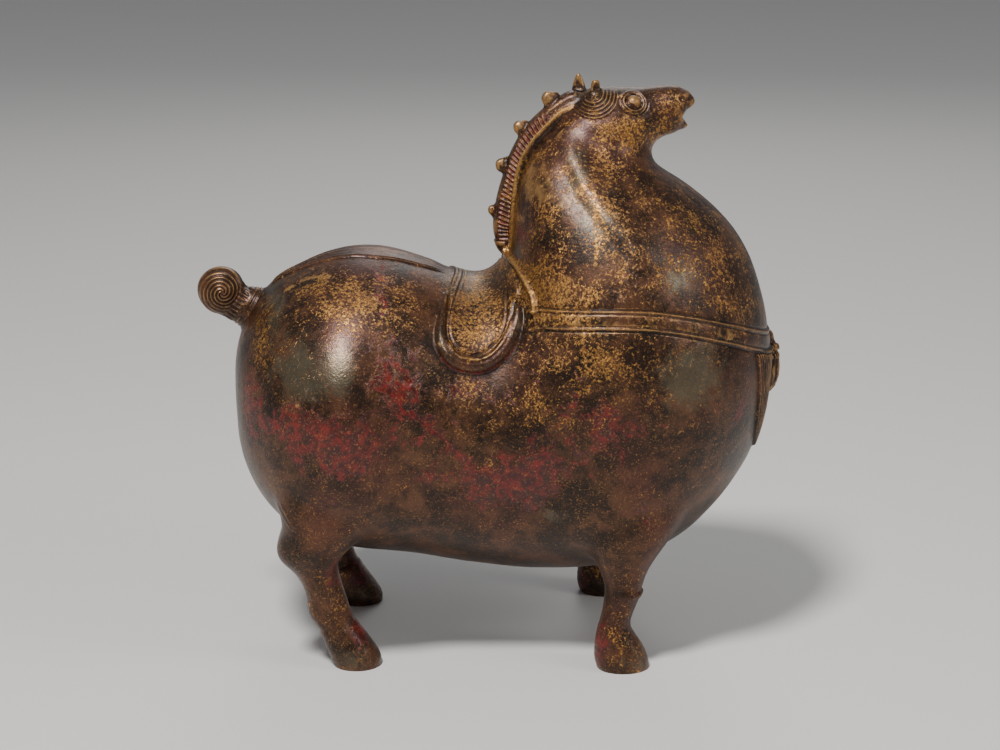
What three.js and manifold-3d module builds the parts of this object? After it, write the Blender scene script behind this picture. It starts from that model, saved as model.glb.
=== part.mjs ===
import * as THREE from 'three';
import { LoftGeometry } from 'three/addons/geometries/LoftGeometry.js';
import { mergeVertices } from 'three/addons/utils/BufferGeometryUtils.js';
import Module from 'manifold-3d';

// Cast bronze horse: a round body, a thick neck and a small raised head, standing on four
// short legs. It faces +X and stands on z = 0, with its middle plane on y = 0.
// Millimetres, +Z up. The origin is under the middle of the casting.

// The pose and the proportions of the figure are percentages of this height.
const height = 300;

// Harness, worked as relief on the skin
const strapWidth = 9.5;
const strapRise = 1.6;
const crupperWidth = 34;
const crupperEndWidth = 12;
const crupperRise = 1.4;
const saddleRise = 1.8;
const saddleRollRadius = 3.6;
const saddleEdgeRadius = 1.3;
const maneLineRadius = 1.3;

// Mane, a clipped comb with four tufts
const maneThickness = 14;
const maneRibs = 25;
const maneRibWidth = 1.5;
const maneRibRise = 0.8;
const tuftRadius = 4;
const tuftStand = 1.5;

// Tail, curled into a ball behind a short dock
const tailBallRadius = 12.7;
const tailBallThickness = 21;
const tailCurlArms = 6;
const tailCurlDepth = 0.8;
const dockRadius = 11;
const dockTipRadius = 8;
const collarRingRadius = 1.5;
const collarRingStand = 1.3;

// Head
const eyeRadius = 4;
const lidRadius = 5.2;
const lidThickness = 1.2;
const earLength = 16.3;
const earWidth = 6.6;
const earDepth = 5;
const earSink = 1.5;
const nostrilRadius = 1.7;
const nostrilRim = 0.9;
const forelockLocks = 3;
const forelockLockRadius = 0.7;

// Tassel on the chest, over a flat fringe
const tasselLength = 33;
const tasselWidth = 13;
const tasselDepth = 6;
const tasselStrands = 6;
const fringeWidth = 42;
const fringeLength = 42;
const fringeRise = 1.3;

// Legs: half the distance between left and right hoof centres, and half a hoof's width
const foreTrack = 59;
const hindTrack = 49;
const hoofHalfWidth = 13;

const wasm = await Module();
wasm.setup();

const percent = (share) => share * height / 100;
const place = (x, y, z) => new THREE.Vector3(percent(x), percent(y), percent(z));

// Closed three.js geometry to solid and back
function solid(geometry) {
  const bare = geometry.index ? geometry.toNonIndexed() : geometry.clone();
  for (const name of Object.keys(bare.attributes)) {
    if (name !== 'position') bare.deleteAttribute(name);
  }
  const merged = mergeVertices(bare, 1e-4);
  return new wasm.Manifold(new wasm.Mesh({
    numProp: 3,
    vertProperties: Float32Array.from(merged.attributes.position.array),
    triVerts: Uint32Array.from(merged.index.array),
  }));
}

function meshOf(shape, name, material) {
  const { vertProperties, triVerts } = shape.getMesh();
  const geometry = new THREE.BufferGeometry();
  geometry.setAttribute('position', new THREE.BufferAttribute(vertProperties, 3));
  geometry.setIndex(new THREE.BufferAttribute(triVerts, 1));
  geometry.computeVertexNormals();
  const mesh = new THREE.Mesh(geometry, material);
  mesh.name = name;
  return mesh;
}

const loft = (rings) => new LoftGeometry(rings, { closed: true, capStart: true, capEnd: true });

// Smooth open curve through side-view points in percent
function sideCurve(points) {
  return new THREE.CatmullRomCurve3(points.map(([x, z]) => place(x, 0, z)));
}

// Outline in millimetres, made a prism that runs through the figure along Y
function prismAlongY(outline) {
  const geometry = new THREE.ExtrudeGeometry(new THREE.Shape(outline), {
    depth: 2 * height,
    bevelEnabled: false,
  });
  geometry.rotateX(Math.PI / 2);
  geometry.translate(0, height, 0);
  return solid(geometry);
}

// Body, neck and head are one loft. Each station gives the point on the back and the point
// on the belly, chest or throat, in percent, and the width as a share of the depth between.
const stations = [
  [-45.0, 47.7, -45.0, 45.7, 1.00],
  [-44.8, 51.0, -44.8, 42.3, 1.00],
  [-44.0, 55.0, -44.5, 37.7, 1.00],
  [-42.4, 58.7, -43.6, 33.0, 1.00],
  [-40.1, 62.2, -41.8, 28.7, 1.00],
  [-36.8, 65.3, -38.4, 24.3, 1.02],
  [-32.6, 67.4, -33.8, 20.7, 1.04],
  [-27.3, 69.4, -27.6, 18.0, 1.05],
  [-20.6, 70.0, -19.9, 16.7, 1.03],
  [-13.9, 68.6, -12.6, 15.7, 0.98],
  [-7.9, 66.4, -4.9, 14.2, 0.95],
  [-2.9, 65.2, 4.1, 13.0, 0.94],
  [0.4, 66.3, 13.4, 12.8, 0.94],
  [2.4, 68.7, 22.4, 14.0, 0.94],
  [3.2, 70.8, 31.2, 17.5, 0.93],
  [3.4, 73.2, 38.3, 23.2, 0.92],
  [3.5, 75.3, 44.0, 31.0, 0.91],
  [3.7, 77.7, 47.4, 39.5, 0.90],
  [4.1, 80.2, 48.6, 49.0, 0.89],
  [4.6, 82.7, 48.0, 57.7, 0.87],
  [5.4, 85.0, 45.9, 66.0, 0.84],
  [6.6, 87.3, 42.1, 73.2, 0.80],
  [8.1, 89.5, 36.7, 78.8, 0.78],
  [9.9, 91.7, 31.9, 82.2, 0.78],
  [12.1, 93.8, 28.6, 84.5, 0.80],
  [14.6, 95.5, 27.5, 86.6, 0.83],
  [17.1, 96.6, 27.9, 88.1, 0.86],
  [19.7, 97.1, 28.8, 89.0, 0.90],
  [22.4, 97.3, 29.8, 89.5, 0.92],
  [25.1, 97.3, 30.8, 89.8, 0.93],
  [28.0, 97.5, 31.7, 90.0, 0.95],
  [30.8, 98.0, 32.8, 90.4, 0.98],
  [33.0, 97.9, 33.7, 91.0, 0.98],
  [34.6, 96.8, 34.3, 92.2, 0.95],
];
const bodySteps = 44;
const bodySides = 28;

// Swellings and hollows of the flesh, in percent: centre x and z, reach along x and z, rise,
// and the distance from the middle plane where each has its full rise
const flesh = [
  { name: 'thigh', x: -25, z: 34, reachX: 12, reachZ: 16, rise: 1.0, from: 10 },
  { name: 'buttock', x: -34, z: 28, reachX: 8, reachZ: 8, rise: 2.4, from: 15 },
  { name: 'flank', x: -9.5, z: 36, reachX: 3.5, reachZ: 15, rise: -1.3, from: 10 },
  { name: 'shoulder', x: 32, z: 45, reachX: 10, reachZ: 12, rise: 0.8, from: 10 },
  { name: 'forearm', x: 22, z: 25, reachX: 9, reachZ: 9, rise: 2.2, from: 18 },
  { name: 'jaw', x: 20, z: 91, reachX: 5, reachZ: 3, rise: 0.6, from: 3 },
  { name: 'hollow behind the jaw', x: 20.5, z: 82, reachX: 3.5, reachZ: 6, rise: -0.8, from: 7 },
];

function fleshAt(point) {
  let rise = 0;
  for (const form of flesh) {
    const dx = (point.x / percent(1) - form.x) / form.reachX;
    const dz = (point.z / percent(1) - form.z) / form.reachZ;
    const fade = THREE.MathUtils.smoothstep(Math.abs(point.y), 0, percent(form.from));
    rise += percent(form.rise) * fade * Math.exp(-dx * dx - dz * dz);
  }
  return rise;
}

function bodyRings() {
  const back = sideCurve(stations.map(([x, z]) => [x, z]));
  const belly = sideCurve(stations.map(([, , x, z]) => [x, z]));
  const girth = sideCurve(stations.map(([, , , , share]) => [share, 0]));
  const rings = [];
  for (let i = 0; i <= bodySteps; i++) {
    const top = back.getPoint(i / bodySteps);
    const low = belly.getPoint(i / bodySteps);
    const middle = top.clone().add(low).divideScalar(2);
    const reach = top.clone().sub(middle);
    const halfWidth = reach.length() * girth.getPoint(i / bodySteps).x / percent(1);
    const ring = [];
    for (let j = 0; j < bodySides; j++) {
      const turn = 2 * Math.PI * j / bodySides;
      const point = middle.clone().addScaledVector(reach, Math.cos(turn));
      point.y = -halfWidth * Math.sin(turn);
      ring.push(point);
    }
    rings.push(ring);
  }
  return rings;
}

// Moves each ring point out along its normal by what riseAt gives
function raised(rings, riseAt) {
  const last = rings.length - 1;
  return rings.map((ring, i) => ring.map((point, j) => {
    const along = rings[Math.min(i + 1, last)][j].clone().sub(rings[Math.max(i - 1, 0)][j]);
    const around = ring[(j + 1) % ring.length].clone().sub(ring[(j + ring.length - 1) % ring.length]);
    return point.clone().addScaledVector(around.cross(along).normalize(), riseAt(point));
  }));
}

const skinRings = raised(bodyRings(), fleshAt);
const skinGeometry = loft(skinRings);
const skinMesh = new THREE.Mesh(skinGeometry);
skinMesh.updateMatrixWorld();
const raisedSkin = (rise) => solid(loft(raised(skinRings, () => rise)));

// The point where a straight line from outside first meets the skin
function skinFrom(origin, direction) {
  const [hit] = new THREE.Raycaster(origin, direction.clone().normalize()).intersectObject(skinMesh);
  return hit.point;
}

const skinBeside = (x, z, side) => skinFrom(place(x, side * 100, z), new THREE.Vector3(0, -side, 0));
const skinBefore = (z) => skinFrom(place(100, 0, z), new THREE.Vector3(-1, 0, 0));
const skinBelow = (x, y) => skinFrom(place(x, y, 100), new THREE.Vector3(0, 0, -1));

// Round bead along a path, with a radius that may change on the way
function bead(points, radiusAt, sides = 6, steps = 3 * points.length) {
  const path = new THREE.CatmullRomCurve3(points);
  const rings = [];
  for (let i = 0; i <= steps; i++) {
    const tangent = path.getTangent(i / steps);
    const across = new THREE.Vector3(0.1, 1, 0.2).cross(tangent).normalize();
    const up = tangent.clone().cross(across);
    const radius = radiusAt(i / steps);
    const ring = [];
    for (let j = 0; j < sides; j++) {
      const turn = 2 * Math.PI * j / sides;
      const point = path.getPoint(i / steps);
      point.addScaledVector(across, radius * Math.cos(turn));
      point.addScaledVector(up, radius * Math.sin(turn));
      ring.push(point);
    }
    rings.push(ring);
  }
  return solid(loft(rings));
}

// Legs: height, hind and front edge in percent, then the half width as a share of the
// hoof's and how far the middle stands inside the hoof's, in percent
const foreRows = [
  [32, 9, 35, 1.7, 4.2],
  [27, 12.2, 32.5, 1.6, 3.2],
  [23, 14.6, 29.8, 1.42, 2.2],
  [20, 16.2, 27.6, 1.2, 1.4],
  [16, 18.2, 25.5, 0.9, 0.4],
  [12.5, 18.4, 24.5, 0.78, 0],
  [8.5, 17.7, 23.1, 0.72, 0],
  [6.3, 17.2, 23.7, 0.8, 0],
  [4, 16.9, 25.2, 0.92, 0],
  [1.8, 16.8, 26.2, 1, 0],
  [0, 17.3, 26.5, 0.98, 0],
];
const hindRows = [
  [36, -38, -20, 2.0, 3.8],
  [31, -39.5, -19.5, 1.8, 2.0],
  [26.5, -38.4, -21, 1.55, 0.8],
  [22.3, -36.9, -24, 1.28, 0],
  [19, -36.5, -26.6, 1.04, -0.2],
  [16, -34.2, -27.0, 0.9, 0],
  [12, -32.8, -26.1, 0.78, 0],
  [8.5, -31.4, -24.6, 0.76, 0],
  [6, -30.2, -23.2, 0.85, 0],
  [3.3, -29.4, -21.1, 0.96, 0],
  [1.4, -28.7, -20.0, 1, 0],
  [0, -28.4, -19.9, 0.98, 0],
];
const legSides = 12;

function leg(rows, track, side) {
  const rings = rows.map(([z, hind, front, width, inside]) => {
    const ring = [];
    for (let j = 0; j < legSides; j++) {
      const turn = -2 * Math.PI * j / legSides;
      const x = (hind + front) / 2 + Math.cos(turn) * (front - hind) / 2;
      const y = side * (track - percent(inside)) + Math.sin(turn) * hoofHalfWidth * width;
      ring.push(new THREE.Vector3(percent(x), y, percent(z)));
    }
    return ring;
  });
  return solid(loft(rings));
}

// Mane: a comb along the crest, from the saddle up to the forelock
const crest = sideCurve([
  [1.2, 69.5], [0.2, 73.2], [0.4, 76.5], [0.9, 79.5], [1.9, 83], [3.2, 87], [5.6, 91.2],
  [8.9, 94.3], [11.6, 96.1], [14.6, 97.2],
]);
const maneRoot = sideCurve([
  [5.5, 67.5], [6.2, 72.5], [6.4, 76], [7, 80], [8.2, 83.5], [9.8, 86.5], [12, 89.3],
  [14.4, 91.8], [16.2, 93], [18, 93.8],
]);
const maneSteps = 16;
const maneRibShare = 0.62;
const tuftPlaces = [0.235, 0.49, 0.66, 0.825];

function maneComb() {
  const half = maneThickness / 2;
  const profile = [[0, half], [0.82, half], [1, half / 2], [1, -half / 2], [0.82, -half], [0, -half]];
  const rings = [];
  for (let i = 0; i <= maneSteps; i++) {
    const tip = crest.getPoint(i / maneSteps);
    const root = maneRoot.getPoint(i / maneSteps);
    rings.push(profile.map(([share, y]) => root.clone().lerp(tip, share).setY(y)));
  }
  return solid(loft(rings));
}

function maneRib(share) {
  const root = maneRoot.getPoint(share);
  const run = crest.getPoint(share).sub(root);
  const geometry = new THREE.BoxGeometry(
    run.length() * maneRibShare, maneThickness + 2 * maneRibRise, maneRibWidth);
  geometry.rotateY(-Math.atan2(run.z, run.x));
  const centre = root.addScaledVector(run, 0.9 - maneRibShare / 2);
  geometry.translate(centre.x, 0, centre.z);
  return solid(geometry);
}

function tuft(share) {
  const geometry = new THREE.IcosahedronGeometry(tuftRadius, 1);
  const tip = crest.getPoint(share);
  const out = tip.clone().sub(maneRoot.getPoint(share)).normalize();
  const centre = tip.addScaledVector(out, tuftStand);
  geometry.translate(centre.x, 0, centre.z);
  return solid(geometry);
}

// Line from the foot of the mane down to the breast strap
function maneLine(side) {
  const points = [[2.8, 69.3], [3.4, 68.4], [4.5, 66.6], [5.8, 63.9], [6.1, 61.4]];
  const path = points.map(([x, z], i) => (
    i === 0 ? place(x + 0.6, 0.6 * side, z) : skinBeside(x, z, side)));
  return bead(path, () => maneLineRadius, 5, 10);
}

// Saddle: a cloth over the back with round flaps, and a thick roll round each flap
const flap = [
  [-6.3, 66.2], [-7.3, 65.2], [-8.4, 63.0], [-9.2, 60.4], [-9.3, 58.1], [-8.5, 56.3],
  [-6.7, 54.9], [-3.7, 54.1], [-0.5, 54.7], [1.6, 56.3], [3.0, 59.1], [3.8, 62.1],
  [3.8, 64.9], [3.3, 67.4], [2.6, 68.6],
];
const saddleTopShare = 0.74;

function saddleCloth() {
  const edge = sideCurve(flap).getPoints(24).map((point) => new THREE.Vector2(point.x, point.z));
  const outline = [
    ...edge,
    new THREE.Vector2(percent(1), height * saddleTopShare),
    new THREE.Vector2(percent(-6), height * saddleTopShare),
  ];
  return raisedSkin(saddleRise).intersect(prismAlongY(outline));
}

function saddleRoll(side) {
  const path = flap.slice(2, 14).map(([x, z]) => skinBeside(x, z, side));
  const swell = (t) => Math.sqrt(Math.max(0, Math.sin(Math.PI * t)));
  return bead(path, (t) => saddleEdgeRadius + (saddleRollRadius - saddleEdgeRadius) * swell(t), 7, 15);
}

// Breast strap: a flat band round the chest from one flap to the other
const strapMiddle = [
  [6, 61.5], [10.4, 62.3], [16.8, 62.7], [22, 62.7], [27, 62.2], [33.7, 60.6],
  [40.2, 58.3], [45.5, 55.7], [50, 53.2], [54, 51],
];

function breastStrap() {
  const middle = sideCurve(strapMiddle);
  const upper = [];
  const lower = [];
  for (let i = 0; i <= 14; i++) {
    const point = middle.getPoint(i / 14);
    const tangent = middle.getTangent(i / 14);
    const across = new THREE.Vector2(-tangent.z, tangent.x).multiplyScalar(strapWidth / 2);
    upper.push(new THREE.Vector2(point.x, point.z).add(across));
    lower.push(new THREE.Vector2(point.x, point.z).sub(across));
  }
  return raisedSkin(strapRise).intersect(prismAlongY([...upper, ...lower.reverse()]));
}

// Crupper: a leaf-shaped band on the spine from the saddle to the dock
const crupperStartShare = -0.41;
const crupperEndShare = -0.06;

function crupper() {
  const left = [];
  const right = [];
  for (let i = 0; i <= 16; i++) {
    const x = height * THREE.MathUtils.lerp(crupperStartShare, crupperEndShare, i / 16);
    const swell = Math.sin(Math.PI * i / 16);
    const half = (crupperEndWidth + (crupperWidth - crupperEndWidth) * swell) / 2;
    left.push(new THREE.Vector2(x, half));
    right.push(new THREE.Vector2(x, -half));
  }
  const geometry = new THREE.ExtrudeGeometry(new THREE.Shape([...right, ...left.reverse()]), {
    depth: height,
    bevelEnabled: false,
  });
  geometry.translate(0, 0, height / 2);
  return raisedSkin(crupperRise).intersect(solid(geometry));
}

// Tail: dock, collar rings and a ball with a swirl of hair on both faces
const dockStart = place(-36, 0, 56.2);
const ballCentre = place(-47.0, 0, 62.7);
const collarPlaces = [0.43, 0.51];

function dockRadiusAt(t) {
  return THREE.MathUtils.lerp(dockRadius, dockTipRadius, THREE.MathUtils.smoothstep(t, 0.4, 0.8));
}

function tail() {
  const swirl = new THREE.SphereGeometry(1, 22, 10);
  swirl.rotateX(Math.PI / 2);
  const points = swirl.attributes.position;
  for (let i = 0; i < points.count; i++) {
    const point = new THREE.Vector3().fromBufferAttribute(points, i);
    const reach = Math.hypot(point.x, point.z);
    const turn = Math.atan2(point.z, point.x) * Math.sign(point.y || 1);
    const wave = Math.cos(tailCurlArms * turn + 5 * reach) * Math.sin(Math.PI * reach);
    const radius = 1 + tailCurlDepth / tailBallRadius * wave;
    point.multiplyScalar(radius);
    points.setXYZ(i, point.x * tailBallRadius, point.y * tailBallThickness / 2, point.z * tailBallRadius);
  }
  swirl.translate(ballCentre.x, 0, ballCentre.z);
  let shape = solid(swirl).add(bead([dockStart, ballCentre], dockRadiusAt, 12, 4));
  const axis = ballCentre.clone().sub(dockStart).normalize();
  for (const t of collarPlaces) {
    const ring = new THREE.TorusGeometry(dockRadiusAt(t) + collarRingStand, collarRingRadius, 5, 12);
    ring.lookAt(axis);
    const centre = dockStart.clone().lerp(ballCentre, t);
    ring.translate(centre.x, 0, centre.z);
    shape = shape.add(solid(ring));
  }
  return shape;
}

// Head: eyes with lids, nostrils, ears, forelock and the open mouth
const eyePlace = [24.4, 3.2, 95.8];
const eyeFacing = new THREE.Vector3(0.1, 0.8, 0.55);
const nostrilPlace = [33.0, 2.0, 97.0];
const nostrilFacing = new THREE.Vector3(0.5, 0.6, 0.5);
const mouth = [[32.4, 93.3], [36.5, 95.6], [36.5, 90.4]];

function eye(side) {
  const centre = place(eyePlace[0], side * eyePlace[1], eyePlace[2]);
  const facing = eyeFacing.clone().multiply(new THREE.Vector3(1, side, 1)).normalize();
  const ball = new THREE.IcosahedronGeometry(eyeRadius, 1);
  ball.translate(centre.x, centre.y, centre.z);
  const lid = new THREE.TorusGeometry(lidRadius, lidThickness, 5, 16);
  lid.lookAt(facing);
  const seat = centre.addScaledVector(facing, lidThickness);
  lid.translate(seat.x, seat.y, seat.z);
  return solid(ball).add(solid(lid));
}

function nostril(side) {
  const facing = nostrilFacing.clone().multiply(new THREE.Vector3(1, side, 1)).normalize();
  const rim = new THREE.TorusGeometry(nostrilRadius, nostrilRim, 5, 10);
  rim.lookAt(facing);
  const centre = place(nostrilPlace[0], side * nostrilPlace[1], nostrilPlace[2]);
  rim.translate(centre.x, centre.y, centre.z);
  return solid(rim);
}

// The ears stand as cast: the left one a little further back and taller than the right
const ears = [
  { x: 15.4, y: 2.9, lean: -0.12, length: earLength },
  { x: 17.7, y: -2.9, lean: 0.06, length: 0.76 * earLength },
];

function ear({ x, y, lean, length }) {
  const profile = [[0, 0], [0.8, 0.05], [1, 0.35], [0.9, 0.6], [0.55, 0.85], [0, 1]];
  const points = profile.map(([r, h]) => new THREE.Vector2(r * earWidth / 2, h * length));
  const geometry = new THREE.LatheGeometry(new THREE.SplineCurve(points).getPoints(6), 8);
  geometry.rotateX(Math.PI / 2);
  geometry.scale(1, earDepth / earWidth, 1);
  geometry.rotateY(lean);
  const foot = skinBelow(x, y);
  geometry.translate(foot.x, foot.y, foot.z - earSink);
  return solid(geometry);
}

function forelock(side) {
  const centre = [17.5, 96.0];
  let locks = null;
  for (let k = 0; k < forelockLocks; k++) {
    const reach = 1.2 + 0.5 * k;
    const path = [];
    for (let step = 0; step <= 5; step++) {
      const turn = Math.PI * (1.15 + 0.7 * step / 5);
      path.push(skinBeside(centre[0] + 1.25 * reach * Math.cos(turn), centre[1] + reach * Math.sin(turn), side));
    }
    const lock = bead(path, () => forelockLockRadius, 4, 4);
    locks = locks ? locks.add(lock) : lock;
  }
  return locks;
}

// Tassel: a knot under the strap and a bunch of cast strands, over a flat fringe
const tasselTopShare = 0.546;
const fringeTopShare = 0.52;
const tasselRows = [
  [0, 0.35], [0.08, 0.62], [0.19, 0.62], [0.27, 0.5], [0.38, 0.8], [0.58, 1], [0.78, 0.94],
  [0.92, 0.7], [1, 0.35],
];
const tasselSides = 24;

function tassel() {
  const rings = tasselRows.map(([share, swell]) => {
    const z = height * tasselTopShare - share * tasselLength;
    const skin = skinBefore(z / percent(1));
    const ring = [];
    for (let j = 0; j < tasselSides; j++) {
      const turn = -2 * Math.PI * j / tasselSides;
      const strand = 1 + 0.09 * Math.cos(2 * tasselStrands * turn);
      const x = skin.x + Math.cos(turn) * tasselDepth * swell * strand;
      const y = Math.sin(turn) * tasselWidth / 2 * swell * strand;
      ring.push(new THREE.Vector3(x, y, z));
    }
    return ring;
  });
  return solid(loft(rings));
}

// Outline of the fringe seen from the front: it widens, then its hem is drawn in
function fringe() {
  const left = [];
  const right = [];
  for (let i = 0; i <= 10; i++) {
    const share = i / 10;
    const half = fringeWidth / 2 * (0.75 + 0.25 * Math.sin(Math.PI * share)) * (1 - 0.6 * share ** 4);
    const z = height * fringeTopShare - share * fringeLength;
    left.push(new THREE.Vector2(-half, z));
    right.push(new THREE.Vector2(half, z));
  }
  const geometry = new THREE.ExtrudeGeometry(new THREE.Shape([...left, ...right.reverse()]), {
    depth: height,
    bevelEnabled: false,
  });
  geometry.rotateX(Math.PI / 2);
  geometry.rotateZ(Math.PI / 2);
  return raisedSkin(fringeRise).intersect(solid(geometry));
}

const pieces = [maneComb(), saddleCloth(), breastStrap(), crupper(), tail(), fringe(), tassel()];
for (const side of [-1, 1]) {
  pieces.push(leg(foreRows, foreTrack, side), leg(hindRows, hindTrack, side));
  pieces.push(saddleRoll(side), maneLine(side), eye(side), nostril(side), forelock(side));
}
for (let i = 0; i < maneRibs; i++) pieces.push(maneRib(0.04 + 0.72 * i / (maneRibs - 1)));
for (const share of tuftPlaces) pieces.push(tuft(share));
for (const form of ears) pieces.push(ear(form));

let horse = solid(skinGeometry);
for (const piece of pieces) horse = horse.add(piece);
horse = horse.subtract(prismAlongY(mouth.map(([x, z]) => new THREE.Vector2(percent(x), percent(z)))));

const bronze = new THREE.MeshStandardMaterial({ color: 0x4a3324, roughness: 0.42, metalness: 0.85 });
const casting = meshOf(horse, 'horse', bronze);
casting.geometry.computeBoundingBox();
casting.position.x = -(casting.geometry.boundingBox.min.x + casting.geometry.boundingBox.max.x) / 2;

const figure = new THREE.Group();
figure.add(casting);

export default figure;
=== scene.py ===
import bpy
import bmesh
import math
import numpy as np
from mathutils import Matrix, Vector
from mathutils.bvhtree import BVHTree

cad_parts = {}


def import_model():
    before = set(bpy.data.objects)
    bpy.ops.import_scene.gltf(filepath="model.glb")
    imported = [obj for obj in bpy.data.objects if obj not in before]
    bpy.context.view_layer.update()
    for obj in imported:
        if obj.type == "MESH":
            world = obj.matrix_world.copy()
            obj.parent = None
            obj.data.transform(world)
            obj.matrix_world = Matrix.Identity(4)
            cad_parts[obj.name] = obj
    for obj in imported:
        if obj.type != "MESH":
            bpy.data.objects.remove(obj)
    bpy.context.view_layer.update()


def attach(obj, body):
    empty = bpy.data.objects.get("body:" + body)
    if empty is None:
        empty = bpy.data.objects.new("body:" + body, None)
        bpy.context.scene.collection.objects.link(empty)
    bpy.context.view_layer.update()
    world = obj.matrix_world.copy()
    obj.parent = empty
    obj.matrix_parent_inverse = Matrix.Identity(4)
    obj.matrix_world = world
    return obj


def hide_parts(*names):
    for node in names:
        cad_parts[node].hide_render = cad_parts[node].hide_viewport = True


# Cast bronze horse with a round body. Metres, +X forward, +Z up, middle plane on y = 0.
# Places on the figure are given in percent of its height, as seen from the side.

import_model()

figure = {
    "height": 0.300,
    "castShift": 0.0008,  # from the middle of the proportions to the middle of the frame
    "roughVoxel": 0.0012,
    "fineVoxel": 0.0008,
    "triangles": 190000,
    # swells of the skin: how wide they are, and how far they move it, in metres
    "swells": {"wide swells": (0.034, 0.0007), "narrow swells": (0.011, 0.00022)},
    # rounds of smoothing where a leg meets the trunk, over the whole skin, and after a union
    "smoothing": {"crease": 110, "skin": 5, "union": 2},
}


def spot(x, z, y=0.0):
    # percent of the height to metres; y stays in millimetres
    scale = figure["height"] / 100
    return Vector((x * scale + figure["castShift"], y * 0.001, z * scale))


def takeUp(piece):
    if bpy.context.object and bpy.context.object.mode != "OBJECT":
        bpy.ops.object.mode_set(mode="OBJECT")
    bpy.ops.object.select_all(action="DESELECT")
    piece.select_set(True)
    bpy.context.view_layer.objects.active = piece
    return piece


def finishWith(piece, kind, **settings):
    takeUp(piece)
    modifier = piece.modifiers.new(kind.lower(), kind)
    for key, value in settings.items():
        setattr(modifier, key, value)
    bpy.ops.object.modifier_apply(modifier=modifier.name)
    return piece


def setInPlace(piece):
    takeUp(piece)
    bpy.ops.object.transform_apply(location=True, rotation=True, scale=True)
    return piece


def tidyShell(piece):
    takeUp(piece)
    bpy.ops.object.mode_set(mode="EDIT")
    bpy.ops.mesh.select_all(action="SELECT")
    bpy.ops.mesh.remove_doubles(threshold=0.00001)
    bpy.ops.mesh.normals_make_consistent(inside=False)
    bpy.ops.object.mode_set(mode="OBJECT")
    return piece


def joinAll(pieces, name):
    takeUp(pieces[0])
    for piece in pieces:
        piece.select_set(True)
    bpy.ops.object.join()
    joined = bpy.context.object
    joined.name = name
    return joined


def smoothRun(points, count):
    # points on a Catmull-Rom curve through the given ones, evenly by parameter
    p = np.array(points, float)
    p = np.vstack([2 * p[0] - p[1], p, 2 * p[-1] - p[-2]])
    t = np.linspace(0, len(points) - 1, count)
    i = np.minimum(t.astype(int), len(points) - 2)
    f = (t - i)[:, None]
    a, b, c, d = p[i], p[i + 1], p[i + 2], p[i + 3]
    return 0.5 * (
        2 * b + (c - a) * f + (2 * a - 5 * b + 4 * c - d) * f**2 + (3 * b - a - 3 * c + d) * f**3)


def eased(value, low, high):
    t = np.clip((value - low) / (high - low), 0, 1)
    return t * t * (3 - 2 * t)


# A cage of rings, drawn so that the subdivided surface runs through the ring points
def cageFromRings(name, rings, levels=2):
    target = np.array(rings, float)
    cage = target.copy()

    def settled(grid):
        around = (np.roll(grid, 1, 1) + 4 * grid + np.roll(grid, -1, 1)) / 6
        along = around.copy()
        along[1:-1] = (around[:-2] + 4 * around[1:-1] + around[2:]) / 6
        return along

    for _ in range(6):
        cage += target - settled(cage)
    mesh = bmesh.new()
    rows = [[mesh.verts.new(p) for p in ring] for ring in cage]
    count = len(rows[0])
    for low, high in zip(rows[:-1], rows[1:]):
        for j in range(count):
            k = (j + 1) % count
            mesh.faces.new((low[j], low[k], high[k], high[j]))
    mesh.faces.new(list(reversed(rows[0])))
    mesh.faces.new(rows[-1])
    piece = bpy.data.objects.new(name, bpy.data.meshes.new(name))
    mesh.to_mesh(piece.data)
    mesh.free()
    bpy.context.scene.collection.objects.link(piece)
    tidyShell(piece)
    return finishWith(piece, "SUBSURF", levels=levels, render_levels=levels)


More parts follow.
